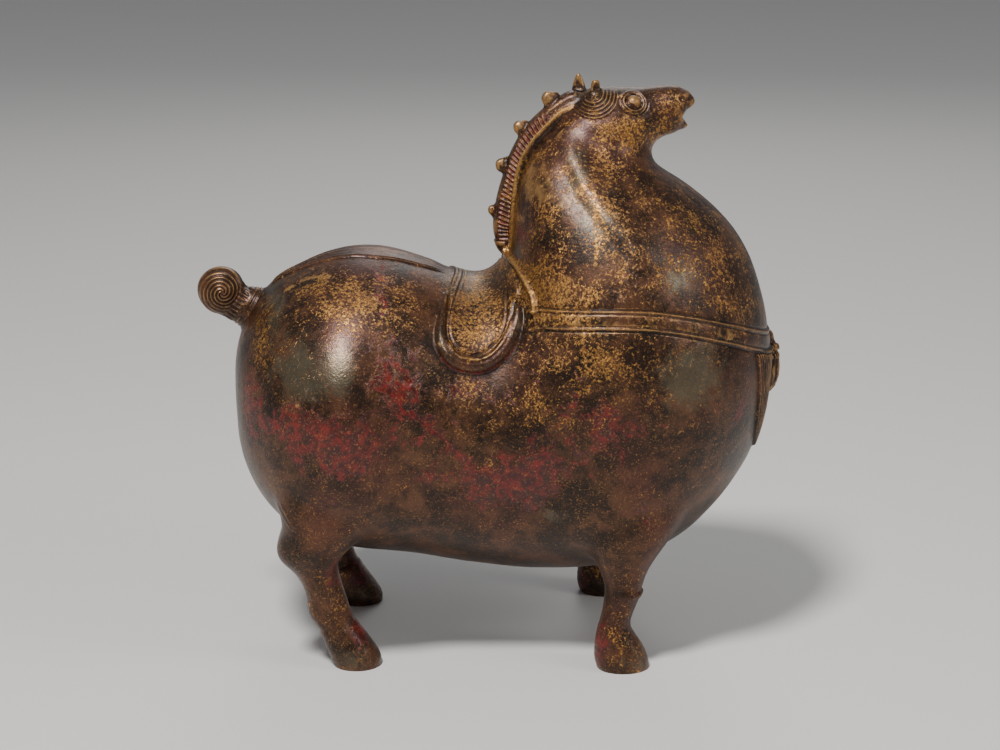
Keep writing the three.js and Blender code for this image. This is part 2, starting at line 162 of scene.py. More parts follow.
# Torso: back x and z, belly x and z, and the width as a share of the depth between
torso = {
    "stations": [
        (-45.0, 47.7, -45.0, 45.7, 1.00),
        (-44.8, 51.0, -44.8, 42.3, 1.00),
        (-44.0, 55.0, -44.5, 37.7, 1.00),
        (-42.4, 58.7, -43.6, 33.0, 1.00),
        (-40.1, 62.2, -41.8, 28.7, 1.00),
        (-36.8, 65.3, -38.4, 24.3, 1.02),
        (-32.6, 67.4, -33.8, 20.7, 1.04),
        (-27.3, 69.4, -27.6, 18.0, 1.05),
        (-20.6, 70.0, -19.9, 16.7, 1.03),
        (-13.9, 68.6, -12.6, 15.7, 0.98),
        (-7.9, 66.4, -4.9, 14.2, 0.95),
        (-2.9, 65.2, 4.1, 13.0, 0.94),
        (0.4, 66.3, 13.4, 12.8, 0.94),
        (2.4, 68.7, 22.4, 14.0, 0.94),
        (3.2, 70.8, 31.2, 17.5, 0.93),
        (3.4, 73.2, 38.3, 23.2, 0.92),
        (3.5, 75.3, 44.0, 31.0, 0.91),
        (3.7, 77.7, 47.4, 39.5, 0.90),
        (4.1, 80.2, 48.6, 49.0, 0.89),
        (4.6, 82.7, 48.0, 57.7, 0.87),
        (5.4, 85.0, 45.9, 66.0, 0.84),
        (6.6, 87.3, 42.1, 73.2, 0.80),
        (8.1, 89.5, 36.7, 78.8, 0.78),
        (9.9, 91.7, 31.9, 82.2, 0.78),
        (12.1, 94.4, 28.6, 84.5, 0.80),
        (14.6, 96.4, 27.5, 86.6, 0.83),
        (17.1, 97.8, 27.9, 88.1, 0.86),
        (19.7, 98.0, 28.8, 89.0, 0.88),
        (22.4, 97.9, 29.8, 89.5, 0.88),
        (25.1, 97.8, 30.8, 89.8, 0.90),
        (28.0, 98.0, 31.5, 90.0, 0.93),
        (30.4, 98.2, 32.2, 90.5, 0.96),
        (32.2, 97.9, 32.8, 91.2, 0.96),
        (33.4, 97.0, 33.2, 92.4, 0.92),
    ],
    "sides": 28,
    # centre x and z, reach x and z, rise, and the distance from the middle of full rise
    "flesh": [
        (-28, 38, 10, 16, 1.0, 10),
        (-30, 52, 8, 9, 0.5, 10),
        (-34, 28, 8, 8, 2.0, 15),
        (-19.5, 50, 3.8, 9, -0.9, 10),
        (-16.5, 36, 4.2, 10, -1.3, 10),
        (-3, 44, 9, 11, 0.3, 10),
        (34.5, 46.5, 8, 8, 1.2, 10),
        (22, 25, 9, 9, 2.2, 18),
        (20, 91, 5, 3, 0.6, 3),
        (7.5, 84, 3.5, 9, 0.9, 6),
    ],
}


def buildTorso():
    rings = []
    for backX, backZ, bellyX, bellyZ, share in torso["stations"]:
        top, low = spot(backX, backZ), spot(bellyX, bellyZ)
        middle = (top + low) / 2
        reach = top - middle
        halfWidth = reach.length * share
        ring = []
        for j in range(torso["sides"]):
            turn = 2 * math.pi * j / torso["sides"]
            point = middle + reach * math.cos(turn)
            point.y = -halfWidth * math.sin(turn)
            ring.append(point)
        rings.append(ring)
    return cageFromRings("torso", rings)


# Legs: height, hind and front edge, half width as a share of the hoof's, and how far the
# middle stands inside the hoof's. The lowest row lies under the floor and is cut off later.
legs = {
    "sides": 14,
    "hoofHalfWidth": 13.0,
    "foreTrack": 59.0,
    "hindTrack": 49.0,
    "knee": (23.0, 14.2, 1.3),
    "fore": [
        (34, 9, 35, 1.7, 4.6),
        (30, 10.6, 33.8, 1.66, 3.9),
        (27, 12.2, 32.5, 1.6, 3.2),
        (23, 14.6, 29.8, 1.42, 2.2),
        (20, 16.2, 27.6, 1.2, 1.4),
        (16, 18.2, 25.5, 0.9, 0.4),
        (12.5, 18.4, 24.5, 0.78, 0),
        (8.5, 17.7, 23.1, 0.72, 0),
        (6.3, 17.2, 23.7, 0.8, 0),
        (4, 16.9, 25.2, 0.92, 0),
        (1.8, 16.8, 26.2, 1.0, 0),
        (0, 17.3, 26.5, 0.98, 0),
        (-1.5, 17.5, 26.4, 0.96, 0),
    ],
    "hind": [
        (38, -37, -20, 2.0, 4.4),
        (34, -37.8, -19.6, 1.92, 3.2),
        (31, -37.6, -19.5, 1.8, 2.0),
        (26.5, -36.4, -21, 1.55, 0.8),
        (24.3, -36.6, -22.4, 1.42, 0.4),
        (22.1, -37.5, -24.3, 1.28, 0),
        (19.3, -37.0, -26.8, 1.06, -0.2),
        (16.4, -34.4, -27.0, 0.9, 0),
        (12, -32.7, -25.7, 0.78, 0),
        (9.2, -32.3, -24.8, 0.76, 0),
        (6.6, -30.6, -23.4, 0.83, 0),
        (3.4, -29.4, -21.1, 0.96, 0),
        (1.4, -28.7, -20.0, 1.0, 0),
        (0, -28.4, -19.9, 0.98, 0),
        (-1.5, -28.2, -20.0, 0.96, 0),
    ],
}


def buildLeg(rows, track, side):
    rings = []
    for z, hind, front, width, inside in rows:
        ring = []
        for j in range(legs["sides"]):
            turn = -2 * math.pi * j / legs["sides"]
            x = (hind + front) / 2 + math.cos(turn) * (front - hind) / 2
            y = side * (track - 3 * inside) + math.sin(turn) * legs["hoofHalfWidth"] * width
            ring.append(spot(x, z, y))
        rings.append(ring)
    return cageFromRings("leg", rings)


# Mane: a clipped comb on the crest of the neck
mane = {
    "thickness": 14.0,
    "crest": [
        (1.2, 69.5), (0.2, 73.2), (0.4, 76.5), (0.9, 79.5), (1.9, 83), (3.2, 87), (5.6, 91.2),
        (8.9, 94.5), (11.6, 96.5), (14.2, 97.8),
    ],
    "root": [
        (5.5, 67.5), (6.2, 72.5), (6.4, 76), (7, 80), (8.2, 83.5), (9.8, 86.5), (12, 89.3),
        (14.4, 91.8), (16.2, 93), (18, 93.8),
    ],
}


def buildComb():
    crest = smoothRun(mane["crest"], 24)
    root = smoothRun(mane["root"], 24)
    half = mane["thickness"] / 2
    profile = [(0, half), (0.5, half), (0.8, 0.93 * half), (0.96, 0.6 * half), (1, 0)]
    profile += [(share, -y) for share, y in reversed(profile[:-1])]
    rings = []
    for tip, foot in zip(crest, root):
        rings.append([spot(*(foot + (tip - foot) * share), y) for share, y in profile])
    return cageFromRings("comb", rings, 1)


# Tail: a short dock that ends in a curled ball. Dock as x, z and radius in millimetres.
tail = {
    "dockSides": 16,
    "dock": [
        (-46.3, 61.9, 10.4), (-44.5, 60.8, 9.6), (-42.8, 60.1, 10.8), (-41.2, 59.5, 11.7),
        (-38.5, 58.3, 12.4), (-35.5, 57.0, 12.8),
    ],
    "dockWidth": 0.9,
    "ballCentre": (-47.0, 62.95),
    "ballRadius": 12.5,
    "ballThickness": 21.0,
    # way from the body to the ball, and the collar's rings along it from the ball's middle
    "axis": (-0.84, 0, 0.54),
    "collar": [14.6, 16.6, 18.6, 20.6],
    "arms": 4,
    "grooves": 1.95,
}


def buildTail():
    path = smoothRun(tail["dock"], 9)
    rings = []
    for i, (x, z, radius) in enumerate(path):
        last = path[max(i - 1, 0)]
        following = path[min(i + 1, len(path) - 1)]
        axis = Vector((following[0] - last[0], 0, following[1] - last[1])).normalized()
        across = Vector((axis.z, 0, -axis.x))
        ring = []
        for j in range(tail["dockSides"]):
            turn = 2 * math.pi * j / tail["dockSides"]
            out = across * math.cos(turn) + Vector((0, tail["dockWidth"] * math.sin(turn), 0))
            ring.append(spot(x, z) + out * radius * 0.001)
        rings.append(ring)
    dock = cageFromRings("dock", rings, 1)
    bpy.ops.mesh.primitive_uv_sphere_add(segments=48, ring_count=24, radius=tail["ballRadius"] * 0.001)
    curl = bpy.context.object
    curl.scale = (1, tail["ballThickness"] / 2 / tail["ballRadius"], 1)
    curl.location = spot(*tail["ballCentre"])
    return joinAll([dock, setInPlace(curl)], "tail")


# Rough union of the big forms
def buildBase():
    pieces = [buildTorso(), buildComb(), buildTail()]
    for side in (-1, 1):
        pieces.append(buildLeg(legs["fore"], legs["foreTrack"], side))
        pieces.append(buildLeg(legs["hind"], legs["hindTrack"], side))
    base = joinAll(pieces, "horse_casting")
    print("big forms:", len(base.data.vertices), "points")
    finishWith(base, "REMESH", mode="VOXEL", voxel_size=figure["roughVoxel"])
    print("one skin:", len(base.data.vertices), "points")
    return base


def pointsOf(piece):
    co = np.zeros(len(piece.data.vertices) * 3, np.float32)
    piece.data.vertices.foreach_get("co", co)
    return co.reshape(-1, 3).astype(float)


def normalsOf(piece):
    n = np.zeros(len(piece.data.vertices) * 3, np.float32)
    piece.data.vertices.foreach_get("normal", n)
    return n.reshape(-1, 3).astype(float)


def putPoints(piece, co):
    piece.data.vertices.foreach_set("co", co.astype(np.float32).ravel())
    piece.data.update()


def percentSide(co):
    x = (co[:, 0] - figure["castShift"]) / figure["height"] * 100
    z = co[:, 2] / figure["height"] * 100
    return x, z


def weighted(piece, name, weights):
    group = piece.vertex_groups.new(name=name)
    steps = np.round(np.clip(weights, 0, 1) * 20).astype(int)
    for step in range(1, 21):
        chosen = np.nonzero(steps == step)[0]
        if len(chosen):
            group.add(chosen.tolist(), step / 20, "REPLACE")
    return group


def raiseFlesh(piece):
    co, normals = pointsOf(piece), normalsOf(piece)
    x, z = percentSide(co)
    y = np.abs(co[:, 1]) * 1000
    rise = np.zeros(len(co))
    for centreX, centreZ, reachX, reachZ, amount, fromMiddle in torso["flesh"]:
        fade = eased(y, 0, 3 * fromMiddle)
        fall = np.exp(-((x - centreX) / reachX) ** 2 - ((z - centreZ) / reachZ) ** 2)
        rise += amount * 0.003 * fade * fall
    # sideways only, so that the outline seen from the side stays as it is
    rise *= eased(z, 15, 25) * np.abs(normals[:, 1])
    putPoints(piece, co + normals * rise[:, None])


# Hand-modelled wax is never quite even: wide and narrow swells of a few tenths
def unevenSkin(piece):
    for name, (size, amount) in figure["swells"].items():
        clouds = bpy.data.textures.new(name, "CLOUDS")
        clouds.noise_scale = size
        clouds.noise_depth = 1
        finishWith(piece, "DISPLACE", texture=clouds, strength=amount, mid_level=0.5, texture_coords="LOCAL")


# Soft cast transitions: wide where a leg meets the trunk, narrow elsewhere
def softenBase(piece):
    co = pointsOf(piece)
    x, z = percentSide(co)
    fore = eased(z, 15, 22) * (1 - eased(z, 34, 42)) * (1 - eased(np.abs(x - 22), 16, 24))
    hind = eased(z, 20, 27) * (1 - eased(z, 40, 48)) * (1 - eased(np.abs(x + 30), 14, 22))
    weighted(piece, "crease", np.maximum(fore, hind))
    rounds = figure["smoothing"]
    finishWith(piece, "SMOOTH", factor=0.5, iterations=rounds["crease"], vertex_group="crease")
    finishWith(piece, "SMOOTH", factor=0.5, iterations=rounds["skin"])
    piece.vertex_groups.clear()


horse = buildBase()
raiseFlesh(horse)
softenBase(horse)
unevenSkin(horse)
skin = BVHTree.FromObject(horse, bpy.context.evaluated_depsgraph_get())
print("base softened")


# Points on the softened skin: seen from the side, from above, and from the front
def beside(x, z, side, lift=0.0):
    hit, normal, _, _ = skin.ray_cast(spot(x, z, side * 400), Vector((0, -side, 0)))
    return hit + normal * lift * 0.001


def above(x, y, lift=0.0):
    hit, normal, _, _ = skin.ray_cast(spot(x, 150, y), Vector((0, 0, -1)))
    return hit + normal * lift * 0.001


def before(y, z, lift=0.0):
    hit, normal, _, _ = skin.ray_cast(spot(120, z, y), Vector((-1, 0, 0)))
    return hit + normal * lift * 0.001


# Round wire through points, with its radius in millimetres at each of them
def wire(name, points, radii, count=0):
    count = count or 6 * len(points)
    path = smoothRun([tuple(p) for p in points], count)
    widths = smoothRun([(r, 0, 0) for r in radii], count)[:, 0]
    curve = bpy.data.curves.new(name, "CURVE")
    curve.dimensions = "3D"
    curve.bevel_depth = 0.001
    curve.bevel_resolution = 2
    curve.use_fill_caps = True
    spline = curve.splines.new("POLY")
    spline.points.add(count - 1)
    for point, place, radius in zip(spline.points, path, widths):
        point.co = (*place, 1)
        point.radius = max(float(radius), 0.15)
    piece = bpy.data.objects.new(name, curve)
    bpy.context.scene.collection.objects.link(piece)
    takeUp(piece)
    bpy.ops.object.convert(target="MESH")
    return tidyShell(bpy.context.object)


def ball(name, place, radii, facing=None, segments=24):
    bpy.ops.mesh.primitive_uv_sphere_add(segments=segments, ring_count=segments // 2, radius=0.001)
    piece = bpy.context.object
    piece.name = name
    piece.scale = radii
    piece.location = place
    if facing is not None:
        piece.rotation_euler = facing.to_track_quat("Z", "Y").to_euler()
    return setInPlace(piece)


def ring(name, place, facing, radius, wireRadius):
    bpy.ops.mesh.primitive_torus_add(
        major_segments=40, minor_segments=10, major_radius=radius * 0.001, minor_radius=wireRadius * 0.001)
    piece = bpy.context.object
    piece.name = name
    piece.rotation_euler = facing.to_track_quat("Z", "Y").to_matrix().to_euler()
    piece.location = place
    return setInPlace(piece)


# Saddle: a cloth with round flaps, and a thick roll round the lower part of each flap
saddle = {
    "roll": [
        (-8.3, 64.2), (-9.0, 61.6), (-9.4, 58.7), (-8.7, 56.5), (-6.8, 54.7), (-3.8, 54.0),
        (-1.0, 54.6), (1.4, 56.5), (2.9, 58.8), (3.7, 61.1), (4.0, 63.0),
    ],
    "rollRadii": [0.6, 1.8, 3.0, 3.6, 3.7, 3.8, 3.8, 3.7, 3.4, 3.0, 1.8],
}


def buildSaddleRoll(side):
    path = [beside(x, z, side, 0.9) for x, z in saddle["roll"]]
    return wire("saddle roll", path, saddle["rollRadii"])


# Ridge that borders the mane, and runs down from its foot to the breast strap
border = {
    "mane": [
        (2.4, 70.2), (3.2, 71.8), (3.3, 74.5), (3.5, 76.8), (3.8, 80.8), (4.5, 84.8),
        (6.2, 88.2), (9.0, 91.5), (11.5, 93.8), (13.6, 95.1),
    ],
    "line": [(2.8, 69.6), (3.6, 69.0), (5.0, 67.3), (6.1, 65.1), (6.4, 62.6)],
    "radius": 1.05,
    "lineRadius": 1.5,
    "lineLift": 0.8,
}


def buildBorder(side):
    path = [spot(x, z, side * 7.2) for x, z in reversed(border["mane"])]
    radii = [border["radius"]] * len(path)
    path += [beside(x, z, side, border["lineLift"]) for x, z in border["line"]]
    radii += [border["lineRadius"]] * len(border["line"])
    return wire("mane border", path, radii)


# Tufts that roll out of the mane: place along it, size, and lift off the crest; the top
# of the roll has a hollow eye on either side
tufts = {
    "places": [(0.225, 0.72, 0.9), (0.485, 1.0, 1.6), (0.655, 0.98, 1.5), (0.83, 1.12, 1.3)],
    "roll": (3.5, 3.7, 3.3),
    "curlRadius": 2.45,
    "curlWire": 1.25,
    "curlSide": 1.7,
}


def buildTuft(share, size, lift):
    crest, root = smoothRun(mane["crest"], 201), smoothRun(mane["root"], 201)
    i = round(share * 200)
    tip, foot = spot(*crest[i]), spot(*root[i])
    out = (tip - foot).normalized()
    up = Vector((-out.z, 0, out.x))
    if up.z < 0:
        up = -up
    centre = tip + out * lift * 0.001
    pieces = [ball("tuft roll", centre, tuple(r * size for r in tufts["roll"]))]
    # the lock runs into the roll from the crest on both sides of it
    for reach, radius in ((-5.5, 1.5), (4.5, 1.3)):
        start = tip - out * 0.0012 + up * reach * size * 0.001
        middle = tip + out * 0.0003 + up * reach * size * 0.0005
        pieces.append(wire("tuft lock", [start, middle, centre], [radius * size, 2.1 * size, 3.0 * size]))
    for side in (-1, 1):
        seat = centre + Vector((0, side * tufts["curlSide"] * size * 0.001, 0.0004))
        pieces.append(ring("tuft curl", seat, Vector((0.1, side, 0.15)),
                           tufts["curlRadius"] * size, tufts["curlWire"] * size))
    return pieces


# Head: eyes with a double rim, ears, nostrils, lips and the locks behind the ears
head = {
    "eye": (23.9, 95.9),
    "eyeFacing": (0.05, 0.86, 0.42),
    "eyeSink": 1.5,
    "eyeRadii": (4.1, 4.1, 3.6),
    "eyeCorner": (21.7, 96.6, 1.5),
    # lips as x, z and radii in millimetres
    "lips": [
        (32.7, 95.4, (6.6, 6.4, 4.6)), (32.3, 96.4, (5.6, 8.0, 3.4)), (31.7, 91.5, (6.4, 5.8, 3.2)),
    ],
    "mouth": [(32.3, 93.2), (37.5, 96.9), (36.5, 87.5)],
    "nostril": (97.4, 8.2, 288.4),
    # ears: x, y, height of the tip, width, thickness, lean and turn, then the share of the
    # width up the ear, and how deep its shell is
    "ears": [
        (14.5, 8.5, 100.2, 8.0, 6.6, -0.04, -0.30,
         [(0, 0.9), (0.25, 1.0), (0.45, 0.96), (0.65, 0.78), (0.82, 0.52), (0.94, 0.3), (1, 0)], 0.14),
        (17.0, -8.5, 99.5, 6.6, 6.0, 0.02, 0.25,
         [(0, 1.0), (0.3, 0.94), (0.55, 0.8), (0.8, 0.72), (0.93, 0.6), (0.985, 0.34), (1, 0)], 0.24),
    ],
}


def buildEye(side):
    x, z = head["eye"]
    facing = (Vector(head["eyeFacing"]) * Vector((1, side, 1))).normalized()
    centre = beside(x, z, side) - facing * head["eyeSink"] * 0.001
    cornerX, cornerZ, radius = head["eyeCorner"]
    corner = beside(cornerX, cornerZ, side, 0.5)
    return [
        ball("eye", centre, head["eyeRadii"], facing),
        ball("eye corner", corner, (radius, radius, radius)),
    ]


def buildEar(x, y, tipZ, width, depth, lean, turn, shape, shell):
    foot = above(x, y, -4.0)
    length = tipZ * 3 - foot.z * 1000
    ear = ball("ear", Vector((0, 0, 0)), (1, 1, 1), segments=40)
    co = pointsOf(ear) * 1000
    t = np.arccos(np.clip(-co[:, 2], -1, 1)) / np.pi
    t = 1 - (1 - t) ** 1.3
    shape = np.array(shape)
    slim = np.interp(t, shape[:, 0], shape[:, 1])
    around = np.hypot(co[:, 0], co[:, 1]) + 1e-9
    co[:, 0] = co[:, 0] / around * slim * width / 2
    co[:, 1] = co[:, 1] / around * slim * depth / 2
    co[:, 2] = t * length
    hollow = bump(co[:, 0], 0.30 * width) * bump(co[:, 2] - 0.62 * length, 0.26 * length)
    co[:, 1] += np.where(co[:, 1] < 0, hollow * depth * shell, 0)
    putPoints(ear, co * 0.001)
    takeUp(ear)
    ear.rotation_euler = (0, lean, turn)
    ear.location = foot
    return setInPlace(ear)


def buildLips():
    return [ball("lip", spot(x, z), radii) for x, z, radii in head["lips"]]


def cutMouth(piece):
    corners = [spot(x, z) for x, z in head["mouth"]]
    bpy.ops.mesh.primitive_cylinder_add(vertices=3, radius=0.01, depth=0.1)
    wedge = bpy.context.object
    takeUp(wedge)
    mesh = wedge.data
    lows = [v for v in mesh.vertices if v.co.z < 0]
    highs = [v for v in mesh.vertices if v.co.z > 0]
    for group, y in ((lows, -0.05), (highs, 0.05)):
        for v in group:
            k = int(round((math.atan2(v.co.x, v.co.y) % (2 * math.pi)) / (2 * math.pi / 3))) % 3
            v.co = corners[k] + Vector((0, y, 0))
    tidyShell(wedge)
    finishWith(piece, "BOOLEAN", operation="DIFFERENCE", object=wedge, solver="EXACT")
    bpy.data.objects.remove(wedge)


# Tassel: a bunch of strands that hangs from the strap over a flat fringe. Its body as a
# share of its length, then radius and lift in millimetres.
tassel = {
    "top": 54.9,
    "length": 33.0,
    "body": [
        (0.02, 3.0, -0.6), (0.14, 3.6, -0.5), (0.28, 3.9, -0.5), (0.45, 5.0, -0.4), (0.62, 5.6, -0.3),
        (0.8, 5.2, -0.6), (0.93, 3.8, -1.2), (1.0, 1.9, -1.6),
    ],
    "ties": [0.26, 0.41],
    "strandPitch": 2.0,
    "fringeTop": 53.2,
    "fringeLength": 52.0,
    "fringeHalf": 41.0,
    "fringeRise": 1.2,
    "fringeStrand": 2.7,
}


def buildTassel():
    top, drop = tassel["top"], tassel["length"] / 3
    path = [before(0, top - share * drop, lift) for share, _, lift in tassel["body"]]
    pieces = [wire("tassel body", path, [radius for _, radius, _ in tassel["body"]], 40)]
    for share in tassel["ties"]:
        radius = np.interp(share, *np.array(tassel["body"])[:, :2].T)
        place = before(0, top - share * drop, -0.4)
        pieces.append(ring("tassel tie", place, Vector((0.1, 0, 1)), radius, 0.65))
    return pieces


def buildDetails():
    pieces = buildTassel()
    for side in (-1, 1):
        pieces += [buildSaddleRoll(side), buildBorder(side)] + buildEye(side)
    for place in tufts["places"]:
        pieces += buildTuft(*place)
    for ear in head["ears"]:
        pieces.append(buildEar(*ear))
    return pieces


def bump(d, width):
    return np.exp(-(d / width) ** 2)


horse = joinAll([horse] + buildLips(), "horse_casting")
finishWith(horse, "REMESH", mode="VOXEL", voxel_size=figure["fineVoxel"])
finishWith(horse, "SMOOTH", factor=0.5, iterations=figure["smoothing"]["union"])
cutMouth(horse)
details = buildDetails()
horse = joinAll([horse] + details, "horse_casting")
finishWith(horse, "REMESH", mode="VOXEL", voxel_size=figure["fineVoxel"])
finishWith(horse, "SMOOTH", factor=0.5, iterations=figure["smoothing"]["union"])
print("details joined:", len(horse.data.vertices), "points")


# Distance from points in a plane to a path in millimetres, which side, and the run along it
def alongPath(u, v, path):
    best, side, run = np.full(len(u), 1e9), np.ones(len(u)), np.zeros(len(u))
    start = 0.0
    for a, b in zip(path[:-1], path[1:]):
        dx, dz = b[0] - a[0], b[1] - a[1]
        length = math.hypot(dx, dz) + 1e-9
        t = np.clip(((u - a[0]) * dx + (v - a[1]) * dz) / length**2, 0, 1)
        ex, ez = u - a[0] - t * dx, v - a[1] - t * dz
        d = np.hypot(ex, ez)
        near = d < best
        best[near] = d[near]
        side[near] = np.sign(dx * ez - dz * ex)[near]
        run[near] = (start + t * length)[near]
        start += length
    return best, side, run


def inside(u, v, outline):
    odd = np.zeros(len(u), bool)
    for a, b in zip(outline, np.roll(outline, -1, 0)):
        crosses = (a[1] > v) != (b[1] > v)
        at = a[0] + (v - a[1]) / (b[1] - a[1] + 1e-12) * (b[0] - a[0])
        odd ^= crosses & (u < at)
    return odd


def sidePath(points, count):
    # percent to millimetres in the side view
    run = smoothRun(points, count) * figure["height"] * 10
    run[:, 0] += figure["castShift"] * 1000
    return run


# Worked relief, in millimetres. Saddle cloth and its line, seen from the side
relief = {
    "cloth": [
        (-5.6, 66.6), (-7.2, 65.4), (-8.3, 64.0), (-9.0, 61.6), (-9.4, 58.7), (-8.7, 56.5),
        (-6.8, 54.7), (-3.8, 54.0), (-1.0, 54.6), (1.4, 56.5), (2.9, 58.8), (3.7, 61.1),
        (4.1, 63.4), (4.1, 66.0), (3.4, 68.1), (2.2, 69.8),
    ],
    "clothRise": 0.9,
    "clothLine": [
        (-4.0, 66.6), (-4.6, 66.0), (-6.0, 64.6), (-7.3, 62.5), (-7.9, 60.3), (-7.8, 58.5),
        (-6.8, 56.9), (-5.3, 55.9), (-3.8, 55.6), (-1.8, 56.2), (0.4, 58.0), (1.7, 60.3),
        (2.1, 62.7), (2.2, 65.2), (1.9, 67.3), (1.4, 68.6),
    ],
    "strap": [
        (0.0, 59.0), (6.0, 61.6), (10.4, 62.3), (16.8, 62.7), (22, 62.7), (27, 62.2), (33.7, 60.6),
        (40.2, 58.3), (45.5, 55.7), (48.6, 53.9), (54, 51),
    ],
    "strapFrom": 16.4,
    "strapHalf": 4.8,
    "strapRise": 0.7,
    # crupper in plan: x in percent and half width in millimetres
    "crupper": [
        (-37.6, 4.5), (-36, 5.5), (-32.6, 8.0), (-25.7, 13.6), (-19.9, 16.2), (-13.6, 13.6),
        (-9.6, 11.0), (-6.4, 9.0),
    ],
    "crupperRise": 0.6,
    "ribPitch": 2.5,
    "ribSlant": -2.4,
    "ribDepth": 1.0,
}


def fieldsOf(co):
    # what every relief and colour region is worked out from
    x, z = percentSide(co)
    return {"X": co[:, 0] * 1000, "Y": co[:, 1] * 1000, "Z": co[:, 2] * 1000, "x": x, "z": z}


def grooveLine(d):
    # a chased line: a groove between two fine raised lips
    return -0.42 * bump(d, 0.45) + 0.22 * bump(np.abs(d) - 1.05, 0.4)


def saddleRelief(f):
    rise = np.zeros(len(f["X"]))
    zone = (f["x"] > -12) & (f["x"] < 7) & (f["z"] > 51) & (f["z"] < 71.5)
    zone &= (f["z"] < 70) | (f["x"] < 2.4)
    u, v = f["X"][zone], f["Z"][zone]
    cloth = sidePath(relief["cloth"], 90)
    around = np.vstack([cloth, [[cloth[-1][0], 260], [cloth[0][0], 260]]])
    d, _, _ = alongPath(u, v, cloth)
    d = np.where(inside(u, v, around), d, -d)
    # along the roll the cloth starts behind it, so that the roll stays round
    low = eased(-v, -197, -188)
    edge = 0.30 * bump(d - 0.9, 0.8) * (1 - low)
    line, _, _ = alongPath(u, v, sidePath(relief["clothLine"], 90))
    rise[zone] = relief["clothRise"] * eased(d - 3.2 * low, -0.5, 0.5) + edge + grooveLine(line)
    return rise


def strapRelief(f):
    rise = np.zeros(len(f["X"]))
    zone = (f["x"] > 4) & (f["z"] > 47) & (f["z"] < 67) & (np.abs(f["Y"]) > 5)
    zone |= (f["x"] > 44) & (f["z"] > 47) & (f["z"] < 60)
    u, v = f["X"][zone], f["Z"][zone]
    d, _, _ = alongPath(u, v, sidePath(relief["strap"], 80))
    half = relief["strapHalf"]
    start = eased(u, relief["strapFrom"], relief["strapFrom"] + 0.9)
    band = relief["strapRise"] * eased(-d, -half - 0.3, -half + 0.5)
    # two grooves with a raised lip between them
    lines = -0.40 * bump(d - half + 1.9, 0.42) + 0.30 * bump(d - half + 0.8, 0.5)
    lines -= 0.35 * bump(d - half - 0.55, 0.45)
    rise[zone] = (band + lines) * start
    return rise


def crupperRelief(f):
    rise = np.zeros(len(f["X"]))
    zone = (f["x"] > -41) & (f["x"] < -5) & (f["z"] > 60) & (np.abs(f["Y"]) < 22)
    zone &= ~((f["x"] < -37.8) & (f["z"] < 63.4))
    x, y = f["x"][zone], np.abs(f["Y"][zone])
    places = np.array(relief["crupper"])
    half = np.interp(x, places[:, 0], places[:, 1])
    slope = np.interp(x, places[:, 0], np.gradient(places[:, 1], places[:, 0] * 3))
    d = (half - y) / np.sqrt(1 + slope**2)
    ends = eased(x, -38.6, -37.4) * (1 - eased(x, -11.0, -7.6))
    band = relief["crupperRise"] * eased(d, -0.4, 0.5)
    lines = -0.34 * bump(d - 1.7, 0.42) + 0.2 * bump(d - 0.7, 0.45) + 0.18 * bump(d - 2.7, 0.45)
    ridge = 0.45 * bump(y, 1.3)
    vein = -0.12 * bump(d - 0.45 * half, 0.8)
    rise[zone] = (band + lines + ridge + vein) * ends
    return rise


def maneCoordinates(f):
    # how far up the comb from its border ridge (0) to its crest (1), and the run along it
    crest = sidePath(mane["crest"], 160)
    foot = sidePath(border["mane"], 160)
    u, v = f["X"], f["Z"]
    outer, _, run = alongPath(u, v, crest)
    inner, side, _ = alongPath(u, v, foot)
    share = inner / (inner + outer + 1e-9)
    return share, run, side


def maneRelief(f):
    rise = np.zeros(len(f["X"]))
    zone = (f["x"] > -2) & (f["x"] < 16) & (f["z"] > 69.5) & (np.abs(f["Y"]) < 9.5)
    g = {key: value[zone] for key, value in f.items()}
    share, run, side = maneCoordinates(g)
    within = eased(share, 0.12, 0.20) * (1 - eased(share, 0.74, 0.82)) * (side > 0)
    within *= eased(np.abs(g["Y"]), 3.0, 4.5)
    length = run + relief["ribSlant"] * share
    ends = eased(run, 4, 7) * (1 - eased(run, 74, 84))
    # narrow ribs between wide grooves
    ribs = (0.5 + 0.5 * np.cos(2 * np.pi * length / relief["ribPitch"])) ** 3
    rise[zone] = within * ends * relief["ribDepth"] * (ribs - 0.85)
    return rise


def tailRelief(f):
    rise = np.zeros(len(f["X"]))
    centre = spot(*tail["ballCentre"]) * 1000
    zone = (f["x"] < -39.5) & (f["z"] > 54.5)
    dx, dz = f["X"][zone] - centre.x - 1.0, f["Z"][zone] - centre.z - 0.6
    radius = np.hypot(dx, dz)
    turn = np.arctan2(dz, dx)
    pitch = tail["grooves"]
    swirl = np.cos(2 * np.pi * radius / pitch - tail["arms"] * turn + 0.6)
    # strands leave the ball at its lower right and run down the dock
    axis = Vector(tail["axis"])
    towards = axis.x * dx + axis.z * dz
    across = axis.x * dz - axis.z * dx
    strands = np.cos(2 * np.pi * across / (1.15 * pitch))
    dock = eased(-towards, 6.0, 10.0) * eased(across, -13, -7)
    collar = eased(-towards, 11.6, 13.0)
    near = eased(radius, 0.3, 1.2)
    rings = sum(bump(-towards - place, 0.5) for place in tail["collar"])
    within = 1 - eased(np.abs(across), 11.5, 13.5)
    swirl *= near * (1 - 0.5 * eased(radius, 7.5, 12))
    rise[zone] = 0.36 * (swirl * (1 - dock) + strands * dock) * (1 - collar) + 0.42 * rings * within
    return rise


